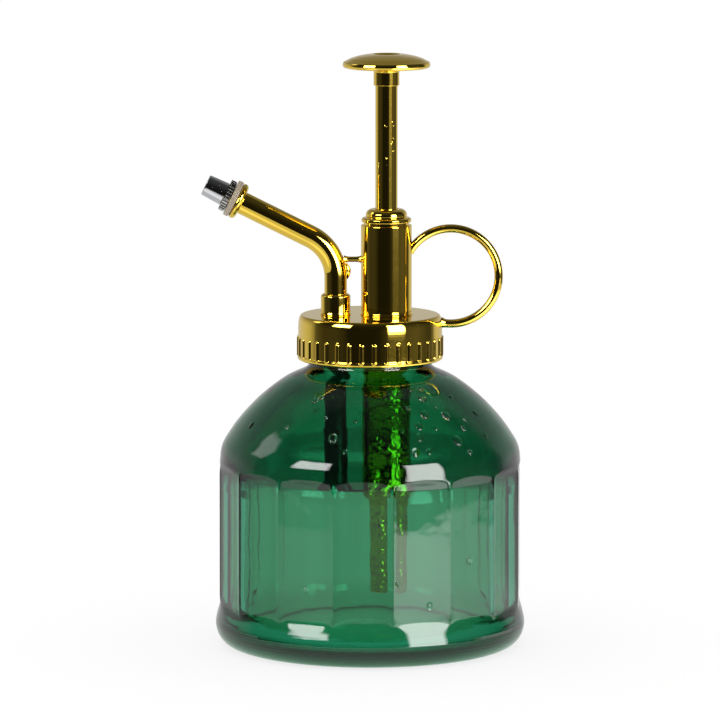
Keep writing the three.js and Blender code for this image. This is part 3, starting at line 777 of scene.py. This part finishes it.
def circlip(inner=1.66, outer=3.3, low=98.96, high=99.54, opening=24, arc=312, steps=60):
    """C-shaped clip in the stem's groove, open towards +X; angles in degrees."""
    verts = []
    for k in range(steps + 1):
        a = radians(opening + arc * k / steps)
        for r, z in ((inner, low), (outer, low), (outer, high), (inner, high)):
            verts.append((PUMP_X + r * cos(a), r * sin(a), z))
    last = len(verts) - 1
    ends = [(0, 1, 2, 3), (last, last - 1, last - 2, last - 3)]
    return verts, grid_faces(steps + 1, 4) + ends


make("piston_circlip", circlip(), STEEL, "piston_clip", body="plunger")

return_spring = make(
    "pump_spring",
    spring(radius=4.0, low=46.55, high=99.5, turns=11, wire_radius=0.45, centre_x=PUMP_X,
           per_turn=48),
    STEEL, "return_spring", angle=None)
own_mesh(return_spring)

# ------------------------------------------------------------------ inlet valve, suction pipe
INLET_SEAT_R, INLET_BALL_R = 1, 1.6
turned("valve_body",
       [(3.28, 37.6, .1), (3.9, 37.6, .15), (3.9, 40.9, 1.0), (6.1, 43.1, .4), (6.1, 43.95, .1),
        (5.1, 43.95), (5.1, 46, .1), (1.2, 46, .1), (1.2, 45.5), (2.3, 45.5), (2.3, 41.4),
        (3.28, 41.4)],
       GOLD_WET, "pump_foot", centre_x=PUMP_X)
turned("valve_seat",
       [(INLET_SEAT_R, 39.35), (3.2, 39.35, .1), (3.2, 41.35, .1), (INLET_SEAT_R, 41.35, .05)],
       GOLD, "inlet_seat", segs=64, centre_x=PUMP_X)
make("inlet_check_ball",
     ball(INLET_BALL_R, PUMP_X, 41.37 + sqrt(INLET_BALL_R**2 - INLET_SEAT_R**2)),
     STEEL, "inlet_ball", body="inlet_valve", angle=None)
turned("suction_tube",
       [(2.4, 14, .15), (3.4, 14, .15)] + [(PIPE_R, 14.6 + 0.33 * k) for k in range(69)]
       + [(PIPE_R, 37.5), (3.2, 37.5), (3.2, 39.25), (2.4, 39.25)],
       GOLD_WET, "suction_pipe", segs=112, centre_x=PUMP_X, radius_at=wet_radius)

# ------------------------------------------------------------------ discharge line
OUTLET_SEAT_R, OUTLET_BALL_R = 0.9, 1.5
ARM_Z = 47.6


def transfer_arm():
    """Valve cup on the riser axis, with a rounded bar along X towards the pump."""
    verts, faces = lathe(
        [(0, 45.9), (3.05, 45.9, .3), (3.05, 57.3, .2), (2.9, 57.3, .05), (2.9, 54.7),
         (2.3, 54.7), (2.3, 49.9), (OUTLET_SEAT_R, 49.9), (OUTLET_SEAT_R, 47), (0, 47)],
        segs=72, centre_x=RISER_X)
    corner_r = 0.7
    outline = []
    # corner centres (y, z from ARM_Z) and the angle at which each quarter arc starts
    for corner_y, corner_z, first in ((1.5, 1, 0), (-1.5, 1, 90), (-1.5, -1, 180), (1.5, -1, 270)):
        for k in range(7):
            a = radians(first + 15 * k)
            outline.append((corner_y + corner_r * cos(a), corner_z + corner_r * sin(a)))
    # x and scale of the section
    stations = [(-7.2, 1.0), (-6.4, 1.0), (-5.2, 0.94), (-4.0, 0.94), (-2.9, 1.0), (-2.3, 1.0),
                (-2.0, 0.93), (-1.9, 0.8)]
    start, count = len(verts), len(outline)
    for x, scale in stations:
        verts += [(x, y * scale, ARM_Z + z * scale) for y, z in outline]
    last = start + (len(stations) - 1) * count
    faces += grid_faces(len(stations), count, offset=start)
    faces += [tuple(range(start, start + count)), tuple(reversed(range(last, last + count)))]
    return verts, faces


make("arm", transfer_arm(), DARK, "transfer_arm")
make("outlet_check_ball",
     ball(OUTLET_BALL_R, RISER_X, 49.92 + sqrt(OUTLET_BALL_R**2 - OUTLET_SEAT_R**2)),
     STEEL, "outlet_ball", body="outlet_valve", angle=None)
outlet_spring = make(
    "outlet_coil",
    spring(radius=1.2, low=52.28, high=54.53, turns=3, wire_radius=0.13, centre_x=RISER_X,
           per_turn=40, segs=10, dead=0),
    STEEL, "outlet_spring", angle=None)
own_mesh(outlet_spring)
turned("outlet_ring", [(1.1, 54.75), (2.78, 54.75, .1), (2.78, 55.5, .1), (1.1, 55.5)],
       WHITE, "outlet_retainer", segs=64, centre_x=RISER_X)
turned("riser", [(1.6, 55.6), (2.8, 55.6, .1), (2.8, 86.5, .1), (1.6, 86.5)],
       DARK, "riser_tube", segs=72, centre_x=RISER_X)
turned("socket",
       [(1, 82), (1.5, 82), (1.5, 86.55), (2.5, 86.55), (2.5, CAP_TOP), (4.0, CAP_TOP, .05),
        (4.08, 88.85, .12), (3.92, 89.3, .3), (3.95, 93.6, .45), (3.5, 94.1, .3), (3.1, 94.1),
        (3.1, 91), (1, 91)],
       GOLD, "spout_socket", centre_x=RISER_X)

# ------------------------------------------------------------------ spout tube
SPOUT_R, SPOUT_BORE = 3.0, 2.0
SPOUT_BOTTOM = 91.05
SPOUT_REACH = 28.25          # from the corner to the end, along the slope
BEND = pi / 2 - SPOUT_RISE
BEND_R = 12.0
BEND_REACH = BEND_R * tan(BEND / 2)   # the bend's length on either side of the corner


def spout_tube():
    """Up the riser axis, round the bend, then out along the slope."""
    bend_z = CORNER_Z - BEND_REACH
    points, tangents = [], []
    for k in range(7):
        points.append(Vector((RISER_X, 0, SPOUT_BOTTOM + (bend_z - SPOUT_BOTTOM) * k / 7)))
        tangents.append(Vector((0, 0, 1)))
    for k in range(33):
        a = BEND * k / 32
        points.append(Vector((RISER_X - BEND_R * (1 - cos(a)), 0, bend_z + BEND_R * sin(a))))
        tangents.append(Vector((-sin(a), 0, cos(a))))
    bend_end = points[-1]
    outward = Vector((-cos(SPOUT_RISE), 0, sin(SPOUT_RISE)))
    for k in range(1, 13):
        points.append(bend_end + outward * ((SPOUT_REACH - BEND_REACH) * k / 12))
        tangents.append(outward)
    return sweep(points, tangents, [SPOUT_R] * len(points), segs=72, bore=SPOUT_BORE)


make("spout", spout_tube(), GOLD, "spout_tube", angle=50)

# ------------------------------------------------------------------ nozzle end
# In its own frame: z runs out along the spout from the corner.
NOZZLE_FRAME = (Matrix.Translation((RISER_X, 0, CORNER_Z))
                @ Matrix.Rotation(SPOUT_RISE - pi / 2, 4, "Y"))
SPIGOT_R = 2.2
TEETH = 28


def spigot_radius(angle, r, z):
    if abs(r - SPIGOT_R) < 0.01 and z > 33:
        return r + thread_height(angle, z, start_z=33.7, pitch=0.8, turns=1.75, half_width=0.27,
                                 height=0.27, run_in=0.5, power=1)
    return r


def knurl_radius(angle, r, z):
    """Straight teeth round the grip."""
    if 31.25 < z < 32.78 and r > 3.9:
        tooth = 1 - abs((angle * TEETH / (2 * pi)) % 1.0 - 0.5) * 2
        return 4.0 + 0.32 * smoothstep(0.15, 0.62, tooth)
    return r


turned("spout_flange",
       [(1.1, 25.5), (1.85, 25.5, .1), (1.85, 28.3), (3.04, 28.3), (3.04, 27.75), (3.9, 27.75),
        (4.5, 27.95), (4.85, 28.35), (4.95, 28.75), (4.88, 29.1), (4.65, 29.35), (4.3, 29.44),
        (3.4, 29.44), (SPIGOT_R, 29.44)]
       + [(SPIGOT_R, 33.1 + 0.08 * k) for k in range(27)] + [(2.15, 35.3), (1.1, 35.3)],
       GOLD, "spout_end", matrix=NOZZLE_FRAME, radius_at=spigot_radius)
turned("washer",
       [(2.5, 29.48, .1), (4.8, 29.48, .25), (5.0, 29.75, .2), (5.0, 30.75, .25),
        (4.8, 31.0, .15), (2.5, 31.0, .1)],
       WASHER, "nozzle_washer", matrix=NOZZLE_FRAME)
turned("swirl_plug",
       [(0, 33.6), (1, 33.6, .1), (1, 35.42), (1.9, 35.42, .06), (1.9, 35.95, .06), (0, 35.95)],
       WHITE, "swirl_insert", segs=48, matrix=NOZZLE_FRAME)
make("nozzle_seal_ring",
     torus(radius=2.61, section_radius=0.35, z=31.62, segs=64, section_segs=16),
     RUBBER, "nozzle_o_ring", body="nozzle_seal", angle=None, matrix=NOZZLE_FRAME)
turned("nozzle_grip",
       [(2.66, 32.15), (3.05, 32.15), (3.05, 31.17), (3.9, 31.17), (4.0, 31.24), (4.15, 31.27),
        (4.15, 31.4), (4.15, 32.0), (4.15, 32.6), (4.15, 32.75), (3.85, 32.8), (3.2, 32.84),
        (2.66, 32.84)],
       KNURL, "nozzle_cap", segs=TEETH * 12, body="nozzle", matrix=NOZZLE_FRAME,
       radius_at=knurl_radius)
turned("nozzle_nose",
       [(2.62, 32.9), (3.0, 32.9), (3.1, 33.0), (3.09, 33.3), (2.98, 36), (2.86, 38.1),
        (2.81, 38.38), (2.7, 38.48), (2.5, 38.5), (1.2, 38.5), (1.0, 38.3), (0.35, 38.15),
        (0.3, 38.0), (0.3, 37.6), (0.9, 37.3), (1.6, 36.3), (2.62, 36.3)],
       CHROME, "nozzle_cap", body="nozzle", matrix=NOZZLE_FRAME)

# ------------------------------------------------------------------ brace, lug and finger ring
# x and radius along the brace between spout and barrel
BRACE = [(-7.0, 1.1), (-6.5, 0.88), (-5.6, 0.72), (-3.6, 0.72), (-2.8, 0.85), (-2.35, 1.05)]
make("brace",
     sweep([Vector((x, 0, 103.3)) for x, radius in BRACE], [Vector((1, 0, 0))] * len(BRACE),
           [radius for x, radius in BRACE], segs=32),
     GOLD, "brace_rod")


def spout_wall(z):
    """x of the spout's +X side, straight and then bending away."""
    bend_z = 98.575
    if z < bend_z:
        return RISER_X + SPOUT_R
    return RISER_X - BEND_R + sqrt((BEND_R + SPOUT_R) ** 2 - (z - bend_z) ** 2)


def lug(low=97.95, height=4.45, rows=24, segs=28, sunk=0.05):
    """Teardrop: a rounded blob pressed against the tube."""
    rings = []
    for k in range(rows + 1):
        t = k / rows
        z = low + height * t
        width = 0.18 + sin(pi * t ** 1.25) ** 0.7 if 0 < t < 1 else 0.02
        rings.append([(spout_wall(z) - sunk + max(-0.35, width * cos(a)),
                       0.62 * width * sin(a), z) for a in around(segs)])
    poles = [(spout_wall(z) - sunk, 0, z) for z in (97.9, 102.4)]
    return capped_shape(rings, *poles)


make("lug", lug(), GOLD, "spout_lug", angle=None)


def finger_ring(centre_x=21.4, centre_z=98.8, radius=12.72, first=-102.5, last=149.6, steps=124):
    """Open wire ring in the XZ plane, thicker at both ends; angles in degrees."""
    first, last = radians(first), radians(last)
    points, tangents, radii = [], [], []
    for k in range(steps + 1):
        a = first + (last - first) * k / steps
        points.append(Vector((centre_x + radius * cos(a), 0, centre_z + radius * sin(a))))
        tangents.append(Vector((-sin(a), 0, cos(a))))
        radii.append(1.12 + 0.38 * smoothstep(7, 0, degrees(a - first))
                     + 0.12 * smoothstep(4, 0, degrees(last - a)))
    return sweep(points, tangents, radii, segs=40)


make("ring_wire", finger_ring(), GOLD, "finger_ring", angle=60)

# ------------------------------------------------------------------ stage, in metres
FLOOR_HALF = 20.0
TABLE_R = 0.40
PAPER_GREY = (0.22, 0.22, 0.22)
PAPER_GLOW = 0.79


def flat_piece(name, corners, material):
    """One polygon at z = 0 from (x, y) corners."""
    mesh = bpy.data.meshes.new(name)
    mesh.from_pydata([(x, y, 0.0) for x, y in corners], [], [tuple(range(len(corners)))])
    mesh.materials.append(material)
    obj = bpy.data.objects.new(name, mesh)
    bpy.context.scene.collection.objects.link(obj)
    return obj


floor_material, floor_graph = new_material("floor_white")
floor_graph.shade({"Base Color": (*PAPER_GREY, 1), "Roughness": 0.9, "Specular IOR Level": 0.0,
                   "Emission Color": (1, 1, 1, 1), "Emission Strength": PAPER_GLOW})
floor = flat_piece("floor", [(x * FLOOR_HALF, y * FLOOR_HALF)
                             for x, y in ((-1, -1), (1, -1), (1, 1), (-1, 1))], floor_material)
floor.location.z = -0.0001
floor.visible_glossy = False

# the white table top as the metal sees it: only near the object
table_material, table_graph = new_material("table_white")
table_graph.shade({"Base Color": (0, 0, 0, 1), "Specular IOR Level": 0.0,
                   "Emission Color": (1, 1, 1, 1)})
table = flat_piece("table", [(TABLE_R * cos(a), TABLE_R * sin(a)) for a in around(96)],
                   table_material)
table.location.z = -0.00005
for ray in ("camera", "diffuse", "transmission", "shadow", "volume_scatter"):
    setattr(table, "visible_" + ray, False)

scene = bpy.context.scene
VIEW_X = -0.0027
camera_data = bpy.data.cameras.new("camera")
camera = bpy.data.objects.new("camera", camera_data)
scene.collection.objects.link(camera)
camera_data.sensor_width = 36
camera_data.lens = 275
camera_data.clip_start = 0.05
camera_data.clip_end = 100
camera.location = (VIEW_X, -1.45, 0.275)
view_target = Vector((VIEW_X, 0, 0.0763))
camera.rotation_euler = (view_target - camera.location).to_track_quat("-Z", "Y").to_euler()
scene.camera = camera

# The light rig turns with the camera, so that every side is lit as the front is.
rig = bpy.data.objects.new("light_rig", None)
scene.collection.objects.link(rig)
follow = rig.constraints.new("COPY_ROTATION")
follow.target = camera
follow.use_x = False
follow.use_y = False


def studio_light(g):
    """Brightness of the studio by direction, in degrees of azimuth and elevation."""
    unit = g.new("VectorMath")
    unit.operation = "NORMALIZE"
    g.feed(unit.inputs[0], g.coords(rig))
    x, y, z = g.separate(unit.outputs[0])
    azimuth = g.azimuth(x, y)
    elevation = g.multiply(g.math("ARCSINE", z), 180 / pi)

    # around the horizon: white paper behind, dark studio in front
    horizon = g.ramp(azimuth, 180, [
        (-180, 1), (-125, 1), (-112, .85), (-104, .55), (-99, .15), (-95, .10), (-80, .05),
        (-57, .05), (-45, .033), (-35, .012), (0, .010), (15, .016), (28, .05), (38, .085),
        (62, .09), (80, .11), (95, .08), (104, .06), (113, .055), (119, .2), (125, .8),
        (130, 1), (180, 1)])
    # above it: the paper ends and the studio is dim
    high = g.ramp(elevation, 90, [(-90, 1), (0, 1), (5, .85), (12, .70), (24, .42), (60, .28),
                                  (90, .20)])
    base = g.multiply(horizon, high)
    # the least light anywhere, growing overhead
    fill = g.ramp(elevation, 90, [(-90, .02), (-8, .012), (8, .012), (30, .02), (60, .05),
                                  (90, .09)])
    base = g.math("MAXIMUM", base, fill)
    # mirrors see the paper as grey, glass sees it bright behind it
    rays = g.new("LightPath").outputs
    paper = g.ramp(azimuth, 180, [(-180, 1), (-104, 1), (-98, 0), (115, 0), (121, 1), (180, 1)])
    mirror_loss = 0.34
    grey = g.multiply(g.multiply(paper, rays["Is Glossy Ray"]), mirror_loss)
    base = g.multiply(base, g.math("SUBTRACT", 1.0, grey))

    def softbox(sides, heights, level, soft=1.5):
        area = g.multiply(g.window(azimuth, *sides, soft), g.window(elevation, *heights, soft))
        return g.multiply(area, level)

    # tall softbox on the right, fading out below: elevation and brightness
    right_level = 13.0
    right_fade = [(-90, 0), (-8.5, .02), (-6.9, .05), (-5.2, .30), (-4.5, .42), (-2, 6),
                  (0, 13), (31, 13), (34, 0), (90, 0)]
    fade = g.ramp(elevation, 90, [(place, level / right_level) for place, level in right_fade])
    boxes = g.multiply(g.multiply(g.window(azimuth, 29, 57, soft=1.5), fade), right_level)
    for box in (dict(sides=(-64, -33), heights=(14, 38), level=12.0),
                dict(sides=(28, 62), heights=(-60, -8.6), level=1.2, soft=0.8),
                dict(sides=(-113, -98), heights=(22, 40), level=2.0, soft=2)):
        boxes = g.add(boxes, softbox(**box))
    return g.add(base, boxes), rays


world = bpy.data.worlds.new("studio")
scene.world = world
world.use_nodes = True
world.node_tree.nodes.clear()
world_graph = Graph(world.node_tree)
brightness, world_rays = studio_light(world_graph)
# the camera and diffuse surfaces see plain white, the rest sees the studio
plain = world_graph.new("Background", {"Color": (1, 1, 1, 1), "Strength": 1.0})
studio = world_graph.new("Background", {"Color": (1, 1, 1, 1), "Strength": brightness})
sees_plain = world_graph.math("MAXIMUM", world_rays["Is Camera Ray"],
                              world_rays["Is Diffuse Ray"])
view = world_graph.new("MixShader",
                       {0: sees_plain, 1: studio.outputs[0], 2: plain.outputs[0]})
world_graph.new("OutputWorld", {"Surface": view.outputs[0]})
world.cycles.sampling_method = "NONE"


def table_glow(g):
    """The softboxes leave brighter pools on the table top."""
    coord = g.coords(rig)
    x, y, _ = g.separate(coord)
    azimuth = g.azimuth(x, y)
    radius = g.axis_distance(x, y)
    ragged_edge = 0.06
    ragged = g.multiply(g.noise(coord, scale=55, detail=4, roughness=0.65), ragged_edge)
    radius = g.add(radius, ragged)
    near = g.multiply(g.remap(radius, span=(0.290, 0.325), to=(1, 0)),
                      g.remap(radius, span=(0.10, 0.14)))
    right = g.ramp(azimuth, 180, [(-180, 0), (16, 0), (24, 1), (44, .92), (58, .8), (72, .35),
                                  (100, .2), (120, 0), (180, 0)])
    right_level, left_level, base_level = 3.5, 0.5, 0.75
    right_pool = g.multiply(g.multiply(right, near), right_level)
    left = g.window(azimuth, -62, -30, soft=3)
    left_pool = g.multiply(g.multiply(left, near), left_level)
    g.shade({"Emission Strength": g.add(g.add(right_pool, left_pool), base_level)})


def floor_glow(g):
    """The paper as the glass sees it: bright near the bottle, darker in bands to each side."""
    x, y, _ = g.separate(g.coords(rig))
    azimuth = g.azimuth(x, y)
    radius = g.axis_distance(x, y)
    sides = g.ramp(azimuth, 180, [(-180, 1), (-150, 1), (-141, .3), (-125, .15), (-60, 1),
                                  (60, 1), (125, .15), (141, .3), (150, 1), (180, 1)])
    seen = g.math("MAXIMUM", sides, g.remap(radius, span=(0.30, 0.50), to=(1, 0)))
    rays = g.new("LightPath").outputs
    through = g.multiply(g.math("SUBTRACT", 1.0, rays["Is Camera Ray"]),
                         g.math("SUBTRACT", 1.0, rays["Is Diffuse Ray"]))
    # part glow and part lit paper for the eye, all glow for the glass
    eye_glow = g.multiply(g.math("SUBTRACT", 1.0, through), PAPER_GLOW)
    g.shade({"Emission Strength": g.add(eye_glow, g.multiply(through, seen)),
             "Base Color": g.mix_colour(through, PAPER_GREY, (0.0, 0.0, 0.0))})


table_glow(table_graph)
floor_glow(floor_graph)

scene.view_settings.view_transform = "Standard"
scene.view_settings.look = "None"
scene.cycles.use_denoising = True
scene.cycles.max_bounces = 20
scene.cycles.transmission_bounces = 16
scene.cycles.glossy_bounces = 8
scene.cycles.transparent_max_bounces = 12
scene.cycles.volume_bounces = 0
scene.cycles.caustics_refractive = False
